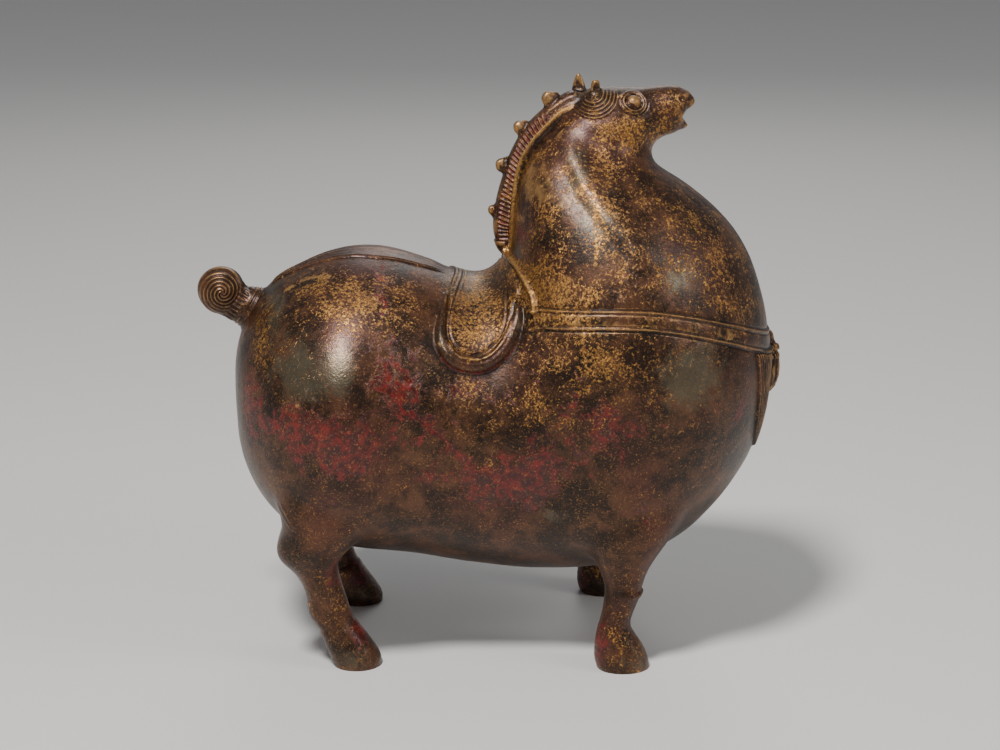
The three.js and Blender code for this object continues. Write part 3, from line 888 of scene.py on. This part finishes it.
def fringeRelief(f):
    rise = np.zeros(len(f["X"]))
    zone = (f["x"] > 30) & (f["z"] > 33) & (f["z"] < 54.5) & (np.abs(f["Y"]) < 44)
    y, z = f["Y"][zone], f["z"][zone]
    # its top follows the strap, which drops towards the middle
    top = tassel["fringeTop"] + 0.035 * (np.abs(y) - 20)
    share = (top - z) * 3 / tassel["fringeLength"]
    s = np.clip(share, 0, 1)
    half = tassel["fringeHalf"] * (1 - 0.12 * s - 0.35 * s**6)
    d = np.minimum(half - np.abs(y), (1 - share) * tassel["fringeLength"])
    strands = np.cos(2 * np.pi * y / half * tassel["fringeHalf"] / tassel["fringeStrand"])
    body = eased(d, -0.5, 0.8) * eased(share, -0.02, 0.03)
    rise[zone] = body * (tassel["fringeRise"] + 0.42 * strands)
    return rise


def tasselRelief(f):
    rise = np.zeros(len(f["X"]))
    zone = (f["x"] > 46) & (f["z"] > 43) & (f["z"] < 53.2) & (np.abs(f["Y"]) < 8)
    y, z = f["Y"][zone], f["z"][zone]
    share = (tassel["top"] - z) * 3 / tassel["length"]
    radius = np.interp(share, *np.array(tassel["body"])[:, :2].T)
    across = np.arcsin(np.clip(y / (radius + 0.4), -1, 1)) * 5.0
    rise[zone] = 0.32 * np.cos(2 * np.pi * across / tassel["strandPitch"]) * (np.abs(y) < radius + 0.3)
    return rise


def forelockRelief(f):
    rise = np.zeros(len(f["X"]))
    zone = (f["x"] > 11) & (f["x"] < 22.5) & (f["z"] > 92) & (f["z"] < 99) & (np.abs(f["Y"]) > 1.5)
    u, v = (f["x"][zone] - 16.9) / 1.05, f["z"][zone] - 97.6
    radius = np.hypot(u, v)
    turn = np.degrees(np.arctan2(v, u))
    fan = eased(turn, -140, -118) * (1 - eased(turn, -12, 6))
    body = eased(radius, 1.4, 1.8) * (1 - eased(radius, 4.1, 4.4)) * fan
    rise[zone] = body * (0.25 + 0.42 * np.cos(2 * np.pi * (radius - 1.3) / 0.58))
    return rise


def headRelief(f):
    rise = np.zeros(len(f["X"]))
    zone = (f["x"] > 18) & (f["z"] > 86)
    X, Y, Z = f["X"][zone], np.abs(f["Y"][zone]), f["Z"][zone]
    # two rims round the eye, and the lid crease under it
    eye = beside(*head["eye"], 1) * 1000
    facing = Vector(head["eyeFacing"]).normalized()
    dx, dy, dz = X - eye.x, Y - eye.y, Z - eye.z
    depth = dx * facing.x + dy * facing.y + dz * facing.z
    fromAxis = np.sqrt(np.maximum(dx**2 + dy**2 + dz**2 - depth**2, 0))
    near = eased(depth, -9, -5)
    below = eased(-dz, -2.0, 3.5)
    rims = -0.65 * bump(fromAxis - 4.3, 0.42) + 0.75 * bump(fromAxis - 5.25, 0.5)
    rims += -0.30 * bump(fromAxis - 5.95, 0.35) + 0.45 * bump(fromAxis - 6.6, 0.5)
    rims -= 0.5 * bump(fromAxis - 7.6, 0.55) * below
    # hollow and flare of the nostril
    nx, ny, nz = head["nostril"]
    away = np.sqrt((X - nx) ** 2 + (Y - ny) ** 2 + (Z - nz) ** 2)
    flare = -1.1 * bump(away, 1.1) + 0.25 * bump(away - 2.3, 0.8)
    rise[zone] = rims * near + flare
    return rise


# Marks and folds: a dent and a long scratch behind the saddle, a ridge and two folds along
# the neck, the tendons of the hind legs, and the scratches that show red or gold
marks = {
    # path in millimetres seen from the side, width, and depth (a ridge where negative)
    "lines": [
        ([(-46.8, 159.5), (-44, 157.2), (-41.8, 155.7)], 1.5, 0.7),
        ([(-43.5, 144.1), (-36, 137), (-26, 128), (-16.7, 117.7)], 0.35, 0.16),
        ([(33, 284), (36, 277), (41.4, 260.4), (51.9, 243.4), (61.5, 231.7), (72, 220.5), (86, 210)],
         6.5, -1.4),
        ([(50, 280), (53, 270), (60, 258), (70, 248), (84, 238)], 8.0, 1.3),
        ([(33, 262), (38, 251), (44, 240), (52, 230.8), (61, 221), (71, 212)], 4.0, 0.7),
        ([(-109.5, 92.5), (-106.5, 87.0), (-103.5, 83.0), (-100.4, 79.0)], 0.8, -0.5),
        ([(-111.8, 90.8), (-108.3, 85.4), (-105.0, 81.2), (-102.2, 78.2)], 0.7, -0.4),
    ],
    "scratchWidth": 0.55,
    "redScratch": [(-43.5, 144.1), (-36, 137), (-26, 128), (-16.7, 117.7)],
    "goldScratches": [
        [(-98.4, 198.3), (-91, 200.8), (-82.9, 202.3)], [(-106, 193.5), (-101.5, 196.5)],
        [(-101, 150), (-97.5, 143.5)], [(92, 132), (99, 134.5)], [(86, 126), (90.5, 129.5)],
    ],
}


def boxRound(f, path, margin):
    low, high = np.min(path, 0) - margin, np.max(path, 0) + margin
    return (f["X"] > low[0]) & (f["X"] < high[0]) & (f["Z"] > low[1]) & (f["Z"] < high[1])


# Red and gold that lie bare in scratches, on the near side only
def scratchFields(f):
    fields = []
    for paths in ([marks["redScratch"]], marks["goldScratches"]):
        field = np.zeros(len(f["X"]))
        for path in paths:
            zone = boxRound(f, path, 3) & (f["Y"] < -12)
            d, _, _ = alongPath(f["X"][zone], f["Z"][zone], np.array(path, float))
            field[zone] = np.maximum(field[zone], bump(d, marks["scratchWidth"]))
        fields.append(field)
    return fields


def markRelief(f):
    rise = np.zeros(len(f["X"]))
    for path, width, depth in marks["lines"]:
        zone = boxRound(f, path, 3 * width) & (np.abs(f["Y"]) > 15)
        points = smoothRun(path, 24)
        d, _, run = alongPath(f["X"][zone], f["Z"][zone], points)
        length = np.hypot(*np.diff(points, axis=0).T).sum()
        fade = eased(run, 0, 0.2 * length) * (1 - eased(run, 0.8 * length, length))
        rise[zone] -= depth * bump(d, width) * fade
    return rise


def hoofRelief(f):
    rise = np.zeros(len(f["X"]))
    zone = f["z"] < 14
    x, z = f["x"][zone], f["z"][zone]
    fore = x > 0
    # the hoof slopes: its upper edge is lower at the heel
    top = np.where(fore, 8.2 + 0.08 * (x - 22), 7.6 + 0.28 * (x + 25.5))
    step = np.where(fore, 0.12, 0.55)
    d = (top - z) * 3
    wall = eased(d, -0.7, 0.7) * (1 - 0.5 * eased(d, 6, 20))
    rings = 0.05 * np.cos(2 * np.pi * d / 3.3) * eased(d, 3.0, 8.0) * (1 - eased(d, 17, 21))
    # knee: a step at the front of the fore leg, above the narrowest place
    kneeX, kneeZ, kneeRise = legs["knee"]
    knee = kneeRise * bump(z - kneeZ, 1.7) * eased(x, kneeX - 3.0, kneeX) * fore * (z > kneeZ - 1.2)
    rise[zone] = (step * wall + rings) * eased(z, 0.3, 1.0) + knee
    return rise


chased = [
    saddleRelief, strapRelief, crupperRelief, maneRelief, tailRelief, fringeRelief, tasselRelief,
    forelockRelief,
]
reliefs = chased + [headRelief, hoofRelief, markRelief]


# Faces with worked relief are split once, so that the lines come out crisp
def refineWorked(piece):
    f = fieldsOf(pointsOf(piece))
    worked = np.zeros(len(f["X"]), bool)
    for carve in chased:
        worked |= np.abs(carve(f)) > 0.03
    worked |= (f["x"] > 14) & (f["z"] > 90) | (sum(scratchFields(f)) > 0.02)
    takeUp(piece)
    bpy.ops.object.mode_set(mode="EDIT")
    bpy.ops.mesh.select_all(action="DESELECT")
    bpy.ops.object.mode_set(mode="OBJECT")
    mesh = piece.data
    corners = np.zeros(len(mesh.loops), np.int32)
    mesh.loops.foreach_get("vertex_index", corners)
    starts = np.zeros(len(mesh.polygons), np.int32)
    mesh.polygons.foreach_get("loop_start", starts)
    chosen = np.logical_or.reduceat(worked[corners], starts)
    mesh.polygons.foreach_set("select", chosen)
    bpy.ops.object.mode_set(mode="EDIT")
    bpy.ops.mesh.subdivide(number_cuts=1, smoothness=0)
    bpy.ops.object.mode_set(mode="OBJECT")


def carveRelief(piece):
    co, normals = pointsOf(piece), normalsOf(piece)
    f = fieldsOf(co)
    rise = sum(carve(f) for carve in reliefs)
    co = co + normals * (rise * 0.001)[:, None]
    co[:, 2] = np.maximum(co[:, 2], 0)
    putPoints(piece, co)


refineWorked(horse)
print("worked areas split:", len(horse.data.vertices), "points")
carveRelief(horse)
faces = sum(len(p.vertices) - 2 for p in horse.data.polygons)
finishWith(horse, "DECIMATE", ratio=figure["triangles"] / faces)
print("relief carved:", len(horse.data.polygons), "triangles")


# Camera at the photograph's angle
camera = {
    "pitch": 14.5,
    "turn": -2.4,
    "distance": 1.26765,
    "target": (0.00495, 0.0, 0.1416),
    "lens": 86.4,
    "sensor": 36,
    "clip": (0.05, 20),
}


def setCamera():
    data = bpy.data.cameras.new("camera")
    data.lens = camera["lens"]
    data.sensor_width = camera["sensor"]
    data.clip_start, data.clip_end = camera["clip"]
    view = bpy.data.objects.new("camera", data)
    bpy.context.scene.collection.objects.link(view)
    turn, pitch = math.radians(camera["turn"]), math.radians(camera["pitch"])
    back = Vector((math.sin(turn) * math.cos(pitch), -math.cos(turn) * math.cos(pitch), math.sin(pitch)))
    view.location = Vector(camera["target"]) + back * camera["distance"]
    view.rotation_euler = (-back).to_track_quat("-Z", "Y").to_euler()
    bpy.context.scene.camera = view


def linear(code):
    channels = [int(code[i:i + 2], 16) / 255 for i in (1, 3, 5)]
    return tuple(c / 12.92 if c <= 0.04045 else ((c + 0.055) / 1.055) ** 2.4 for c in channels) + (1.0,)


setCamera()


# Where the surface carries red lacquer, gilding and worn metal: centre x and z, reach x
# and z in percent as seen from the side, and how strongly
patina = {
    "lacquer": [
        (-32.0, 44.7, 8.5, 4.8, 1.0), (-26.2, 40.5, 6.8, 4.8, 1.0), (-41.2, 46.1, 2.1, 6.7, 0.8),
        (-17.5, 53.3, 4.3, 7.4, 0.8), (-19.4, 66.5, 1.8, 3.7, 0.7), (-4.6, 50.8, 8.0, 2.2, 0.6),
        (0.4, 34.4, 9.3, 5.2, 0.9), (-28.6, 31.9, 2.1, 1.7, 0.6), (19.2, 44.9, 8.0, 5.9, 0.7),
        (7.0, 37.7, 6.1, 4.4, 0.8), (41.7, 45.8, 1.8, 4.8, 0.7), (20.2, 68.8, 3.2, 3.7, 0.5),
        (23.9, 29.7, 3.9, 4.4, 0.5), (5.0, 74.3, 2.1, 1.9, 0.6), (15.9, 83.3, 3.9, 1.7, 0.4),
        (-11.3, 41.8, 7.1, 7.4, 0.4), (10.2, 49.6, 10.7, 11.1, 0.25), (-24.0, 11.5, 2.2, 9.0, 1.0),
        (17.6, 5.0, 1.6, 6.0, 0.8), (-27.5, 18.0, 1.6, 4.0, 1.0), (-22.3, 8.5, 1.5, 3.0, 1.0),
    ],
    "gilding": [
        (10.7, 77.9, 12.5, 16.6, 1.0), (8.1, 67.4, 7.1, 5.5, 1.0), (34.4, 74.0, 10.7, 12.9, 0.6),
        (6.8, 79.0, 4.5, 10.0, 0.9),
        (16.7, 55.7, 10.7, 5.9, 0.7), (2.1, 47.3, 9.8, 5.5, 0.5), (-25.2, 64.6, 9.8, 4.1, 0.85),
        (-39.4, 56.5, 3.2, 6.3, 0.6), (-3.5, 60.7, 5.3, 8.3, 0.95), (24.9, 91.3, 8.0, 5.2, 0.8),
        (-17.8, 61.8, 5.3, 4.6, 0.5), (31.9, 95.3, 2.8, 3.3, 0.6), (21.0, 6.0, 7.1, 9.4, 0.5),
        (-28.0, 14.0, 7.1, 14.0, 0.4), (44.0, 64.0, 8.0, 9.0, 0.5),
    ],
    "worn": [
        (-37.1, 62.1, 2.1, 3.3, 0.6), (-32.7, 53.8, 5.3, 5.2, 0.85), (-26.1, 54.4, 2.8, 4.1, 0.7),
        (32.2, 52.8, 5.7, 5.5, 1.0), (30.4, 68.6, 3.2, 2.6, 0.6), (8.2, 82.6, 1.8, 1.7, 0.3),
        (9.7, 29.0, 2.8, 1.9, 0.5), (-4.0, 65.0, 5.0, 3.3, 0.5), (17.3, 78.9, 3.6, 5.5, 0.5),
        (13.5, 85.5, 2.1, 5.2, 0.6), (24.0, 2.0, 4.0, 3.0, 0.5), (-24.0, 2.0, 4.0, 3.0, 0.5),
    ],
}


def spread(f, places):
    bare = np.ones(len(f["x"]))
    for centreX, centreZ, reachX, reachZ, amount in places:
        away = -((f["x"] - centreX) / reachX) ** 2 - ((f["z"] - centreZ) / reachZ) ** 2
        bare *= 1 - amount * np.exp(away)
    return 1 - bare


# How far each point lies above or below the averaged surface round it, in millimetres
def standing(piece, rounds):
    mesh = piece.data
    ends = np.zeros(len(mesh.edges) * 2, np.int32)
    mesh.edges.foreach_get("vertices", ends)
    a, b = ends[0::2], ends[1::2]
    start = pointsOf(piece) * 1000
    count = np.bincount(a, minlength=len(start)) + np.bincount(b, minlength=len(start))
    smooth = start.copy()
    for _ in range(rounds):
        total = np.stack([
            np.bincount(a, smooth[b, k], len(start)) + np.bincount(b, smooth[a, k], len(start))
            for k in range(3)], 1)
        smooth = 0.4 * smooth + 0.6 * total / np.maximum(count, 1)[:, None]
    return ((start - smooth) * normalsOf(piece)).sum(1)


def keepField(piece, name, values):
    attribute = piece.data.attributes.new(name, "FLOAT", "POINT")
    attribute.data.foreach_set("value", np.clip(values, 0, 1).astype(np.float32))


def markPatina(piece):
    f = fieldsOf(pointsOf(piece))
    stands = standing(piece, 8)
    cuts = [carve(f) for carve in chased]
    carved = sum(cuts)
    worked = sum(np.abs(cut) > 0.03 for cut in cuts) > 0
    worked |= (f["x"] > 14) & (f["z"] > 91) | (f["x"] < 12) & (f["z"] > 71)
    maneCut = cuts[chased.index(maneRelief)]
    # the lower edge of the saddle roll is red, with a painted shadow under it, and its top is worn
    roll = np.zeros(len(f["x"]))
    rollTop = roll.copy()
    zone = (f["x"] > -12) & (f["x"] < 6) & (f["z"] > 51) & (f["z"] < 66)
    d, _, run = alongPath(f["X"][zone], f["Z"][zone], sidePath(saddle["roll"], 60))
    outer = ~inside(f["X"][zone], f["Z"][zone], sidePath(saddle["roll"], 60))
    roll[zone] = bump(d - 2.6, 1.5) * outer * eased(-f["Z"][zone], -176, -164)
    # painted shadow: a dark band just outside the lower roll, added to the hollow field
    shadow = np.zeros(len(f["x"]))
    shadow[zone] = bump(d - 4.6, 0.9) * outer * eased(-f["Z"][zone], -182, -170)
    rollTop[zone] = bump(d, 2.8) * eased(run, 6, 22) * (1 - eased(run, 72, 84))
    comb = eased(maneCoordinates(f)[0], 0.1, 0.2) * (f["x"] > -2) * (f["x"] < 16) * (f["z"] > 70)
    groove = eased(-maneCut, 0.15, 0.6)
    red, gold = scratchFields(f)
    edge = np.zeros(len(f["x"]))
    near = (f["x"] > 0) & (f["x"] < 15) & (f["z"] > 61)
    for path in (border["mane"], border["line"]):
        d, _, _ = alongPath(f["X"][near], f["Z"][near], sidePath(path, 60))
        edge[near] = np.maximum(edge[near], bump(d, 1.2))
    # painted shade: darker in hollows, folds and carved lines, standing in for the shade that gathers there
    paintedShade = eased(-stands, 0.03, 0.30) * (0.35 + 0.65 * worked) + eased(-carved, 0.1, 0.45)
    keepField(piece, "hollow", paintedShade * (1 - 0.85 * groove) * (1 - 0.6 * edge) + shadow)
    # lighter on raised places and on the mane border: wear, with a painted highlight
    wearAndHighlight = eased(stands, 0.06, 0.35) * (0.15 + 0.85 * worked)
    keepField(piece, "ridge", wearAndHighlight + 0.8 * edge + gold)
    band = eased(np.abs(maneCut), 0.02, 0.10)
    keepField(piece, "lacquer", spread(f, patina["lacquer"]) + band + 0.9 * roll + 1.5 * red)
    gilding = (spread(f, patina["gilding"]) + edge + gold) * (1 - 0.85 * rollTop)
    keepField(piece, "gilding", gilding * (1 - 0.5 * comb))
    keepField(piece, "worn", spread(f, patina["worn"]) + 0.35 * rollTop)


def addNode(tree, kind, settings=None, links=None):
    node = tree.nodes.new(kind)
    for key, value in (settings or {}).items():
        if isinstance(key, int) or key in node.inputs:
            node.inputs[key].default_value = value
        else:
            setattr(node, key, value)
    for key, socket in (links or {}).items():
        tree.links.new(socket, node.inputs[key])
    return node


# Lost-wax cast bronze, once lacquered red and gilded, handled until it wore: a dark brown
# skin with a soft gloss, gold left as fine flakes, red in patches, olive metal on the swells
bronzeLook = {
    # colours that run from a dark to a light tone, and plain ones
    "tones": {
        "brown": ("#24170f", "#5d3c28"),
        "worn": ("#4c4638", "#7d7560"),
        "red": ("#340808", "#741410"),
        "gold": ("#8a5c2c", "#d9a050"),
    },
    "plain": {
        # the near-black is painted shade in hollows plus a painted shadow under the saddle roll; the light
        # brass is wear with a painted highlight on raised places
        "plum": "#502b24", "stain": "#191a12", "grain": "#94693c", "paintedShade": "#110b08", "wearAndHighlight": "#bf9055",
    },
    # the layers over the brown from the lowest up, and how far each covers what is below
    "cover": {
        "plum": 0.5, "stain": 0.65, "worn": 0.7, "red": 0.85, "grain": 0.55, "gold": 0.85,
        "paintedShade": 0.7, "wearAndHighlight": 0.45,
    },
    "metallic": {"body": 0.5, "worn": 0.65, "red": 0.1, "gold": 0.7},
    "roughness": {"body": 0.33, "worn": 0.28, "red": 0.32, "gold": 0.34},
    # what the wrinkles add to the roughness, and what is taken off to keep its middle
    "wrinkleRoughness": (0.22, 0.09),
    # how far pits, flakes and lacquer stand up among the wrinkles in the bump
    "rises": {"pit": 0.55, "gold": 0.25, "red": 0.5},
    "bump": {"Strength": 0.5, "Distance": 0.0004},
    # sizes of the patterns in millimetres, then detail, roughness and distortion
    "patterns": {
        "mottle": (22, 12, 0.76, 0.3),
        "tint": (48, 6, 0.6, 0.0),
        "stain": (16, 12, 0.78, 0.5),
        "blotch": (10, 11, 0.76, 0.6),
        "cluster": (12, 7, 0.66, 0.2),
        "flake": (1.6, 6, 0.74, 0.4),
        "grain": (1.0, 3, 0.7, 0.0),
        "wrinkle": (4.5, 7, 0.66, 0.4),
        "pit": (0.9, 2, 0.5, 0.0),
    },
}


def makeBronze():
    material = bpy.data.materials.new("lacquered cast bronze")
    material.use_nodes = True
    tree = material.node_tree
    shader = tree.nodes["Principled BSDF"]
    where = addNode(tree, "ShaderNodeTexCoord").outputs["Object"]
    noise = {}
    for name, (size, detail, roughness, distortion) in bronzeLook["patterns"].items():
        noise[name] = addNode(tree, "ShaderNodeTexNoise", {
            "Scale": 1000 / size, "Detail": detail, "Roughness": roughness, "Distortion": distortion,
        }, {"Vector": where}).outputs["Fac"]
    field = {}
    for name in ("hollow", "ridge", "lacquer", "gilding", "worn"):
        field[name] = addNode(tree, "ShaderNodeAttribute", {"attribute_name": name}).outputs["Fac"]

    # each mask is a pattern, raised by its region, cut between two levels
    recipes = {
        "mottle": (noise["mottle"], 0.0, noise["mottle"], 0.41, 0.64),
        "plum": (noise["tint"], 0.0, noise["tint"], 0.46, 0.66),
        "stain": (noise["stain"], 0.0, noise["stain"], 0.53, 0.63),
        "grain": (noise["grain"], 0.25, noise["cluster"], 0.68, 0.79),
        "worn": (noise["blotch"], 0.50, field["worn"], 0.58, 0.92),
        "red": (noise["blotch"], 0.32, field["lacquer"], 0.63, 0.73),
        "redLight": (noise["wrinkle"], 0.0, noise["wrinkle"], 0.40, 0.66),
        "goldPlace": (noise["cluster"], 0.42, field["gilding"], 0.50, 0.98),
        "gold": (noise["flake"], 0.17, "goldPlace", 0.60, 0.70),
        "goldLight": (noise["grain"], 0.0, noise["grain"], 0.42, 0.62),
        # painted shade and shadow come from the hollow field; wear with painted highlight comes from the
        # ridge field
        "paintedShade": (noise["wrinkle"], 0.9, field["hollow"], 0.62, 1.25),
        "wearAndHighlight": (noise["wrinkle"], 0.8, field["ridge"], 0.80, 1.25),
    }
    mask = {}
    for name, (pattern, gain, region, low, high) in recipes.items():
        raised = addNode(tree, "ShaderNodeMath", {
            "operation": "MULTIPLY_ADD", 1: gain,
        }, {0: mask[region] if region == "goldPlace" else region, 2: pattern})
        mask[name] = addNode(tree, "ShaderNodeMapRange", {
            "interpolation_type": "SMOOTHSTEP", "From Min": low, "From Max": high,
        }, {"Value": raised.outputs[0]}).outputs[0]

    varies = {
        "brown": mask["mottle"], "worn": noise["cluster"], "red": mask["redLight"], "gold": mask["goldLight"],
    }
    tone = {}
    for name, (dark, light) in bronzeLook["tones"].items():
        tone[name] = addNode(tree, "ShaderNodeMix", {
            "data_type": "RGBA", 6: linear(dark), 7: linear(light),
        }, {0: varies[name]}).outputs[2]
    colour = tone["brown"]
    for name, cover in bronzeLook["cover"].items():
        amount = addNode(tree, "ShaderNodeMath", {"operation": "MULTIPLY", 1: cover}, {0: mask[name]})
        settings, links = {"data_type": "RGBA"}, {0: amount.outputs[0], 6: colour}
        if name in tone:
            links[7] = tone[name]
        else:
            settings[7] = linear(bronzeLook["plain"][name])
        colour = addNode(tree, "ShaderNodeMix", settings, links).outputs[2]
    tree.links.new(colour, shader.inputs["Base Color"])

    for socket, values in (("Metallic", bronzeLook["metallic"]), ("Roughness", bronzeLook["roughness"])):
        level = None
        for name in ("worn", "red", "gold"):
            links = {0: mask[name]} if level is None else {0: mask[name], 2: level}
            level = addNode(tree, "ShaderNodeMix", {
                "data_type": "FLOAT", 2: values["body"], 3: values[name],
            }, links).outputs[0]
        if socket == "Roughness":
            more, less = bronzeLook["wrinkleRoughness"]
            level = addNode(tree, "ShaderNodeMath", {
                "operation": "MULTIPLY_ADD", 1: more,
            }, {0: noise["wrinkle"], 2: level}).outputs[0]
            level = addNode(tree, "ShaderNodeMath", {"operation": "SUBTRACT", 1: less}, {0: level}).outputs[0]
        tree.links.new(level, shader.inputs[socket])

    height = noise["wrinkle"]
    for name, rise in bronzeLook["rises"].items():
        height = addNode(tree, "ShaderNodeMath", {
            "operation": "MULTIPLY_ADD", 1: rise,
        }, {0: noise["pit"] if name == "pit" else mask[name], 2: height}).outputs[0]
    bumps = addNode(tree, "ShaderNodeBump", bronzeLook["bump"], {"Height": height})
    tree.links.new(bumps.outputs[0], shader.inputs["Normal"])
    return material


markPatina(horse)
horse.data.materials.clear()
horse.data.materials.append(makeBronze())
takeUp(horse)
bpy.ops.object.shade_smooth()
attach(horse, "root")
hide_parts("horse")

# Floor and soft studio light
studio = {
    "floorSize": 16,
    "paper": "#d8d5d0",
    "surround": "#c9ccd2",
    "surroundStrength": 0.36,
    # place, the point that it faces, width in metres and power in watts
    "lights": {
        "key light": ((-0.5, -0.95, 1.95), (0, 0, 0.15), 0.38, 56),
        "side light": ((1.3, -0.6, 1.0), (0, 0, 0.18), 0.7, 7),
        "back light": ((0.2, 1.6, 1.2), (0, 0, 0.15), 0.9, 5),
    },
}
bpy.ops.mesh.primitive_plane_add(size=studio["floorSize"])
floor = bpy.context.object
floor.name = "floor"
floorPaint = bpy.data.materials.new("pale paper")
floorPaint.use_nodes = True
paperShader = floorPaint.node_tree.nodes["Principled BSDF"]
paperShader.inputs["Base Color"].default_value = linear(studio["paper"])
floor.data.materials.append(floorPaint)


def addLight(name, place, target, size, power):
    data = bpy.data.lights.new(name, "AREA")
    data.shape = "DISK"
    data.size = size
    data.energy = power
    lamp = bpy.data.objects.new(name, data)
    lamp.location = place
    lamp.rotation_euler = (Vector(target) - Vector(place)).to_track_quat("-Z", "Y").to_euler()
    bpy.context.scene.collection.objects.link(lamp)


for name, values in studio["lights"].items():
    addLight(name, *values)
world = bpy.data.worlds.new("studio")
world.use_nodes = True
background = world.node_tree.nodes["Background"]
background.inputs["Color"].default_value = linear(studio["surround"])
background.inputs["Strength"].default_value = studio["surroundStrength"]
bpy.context.scene.world = world
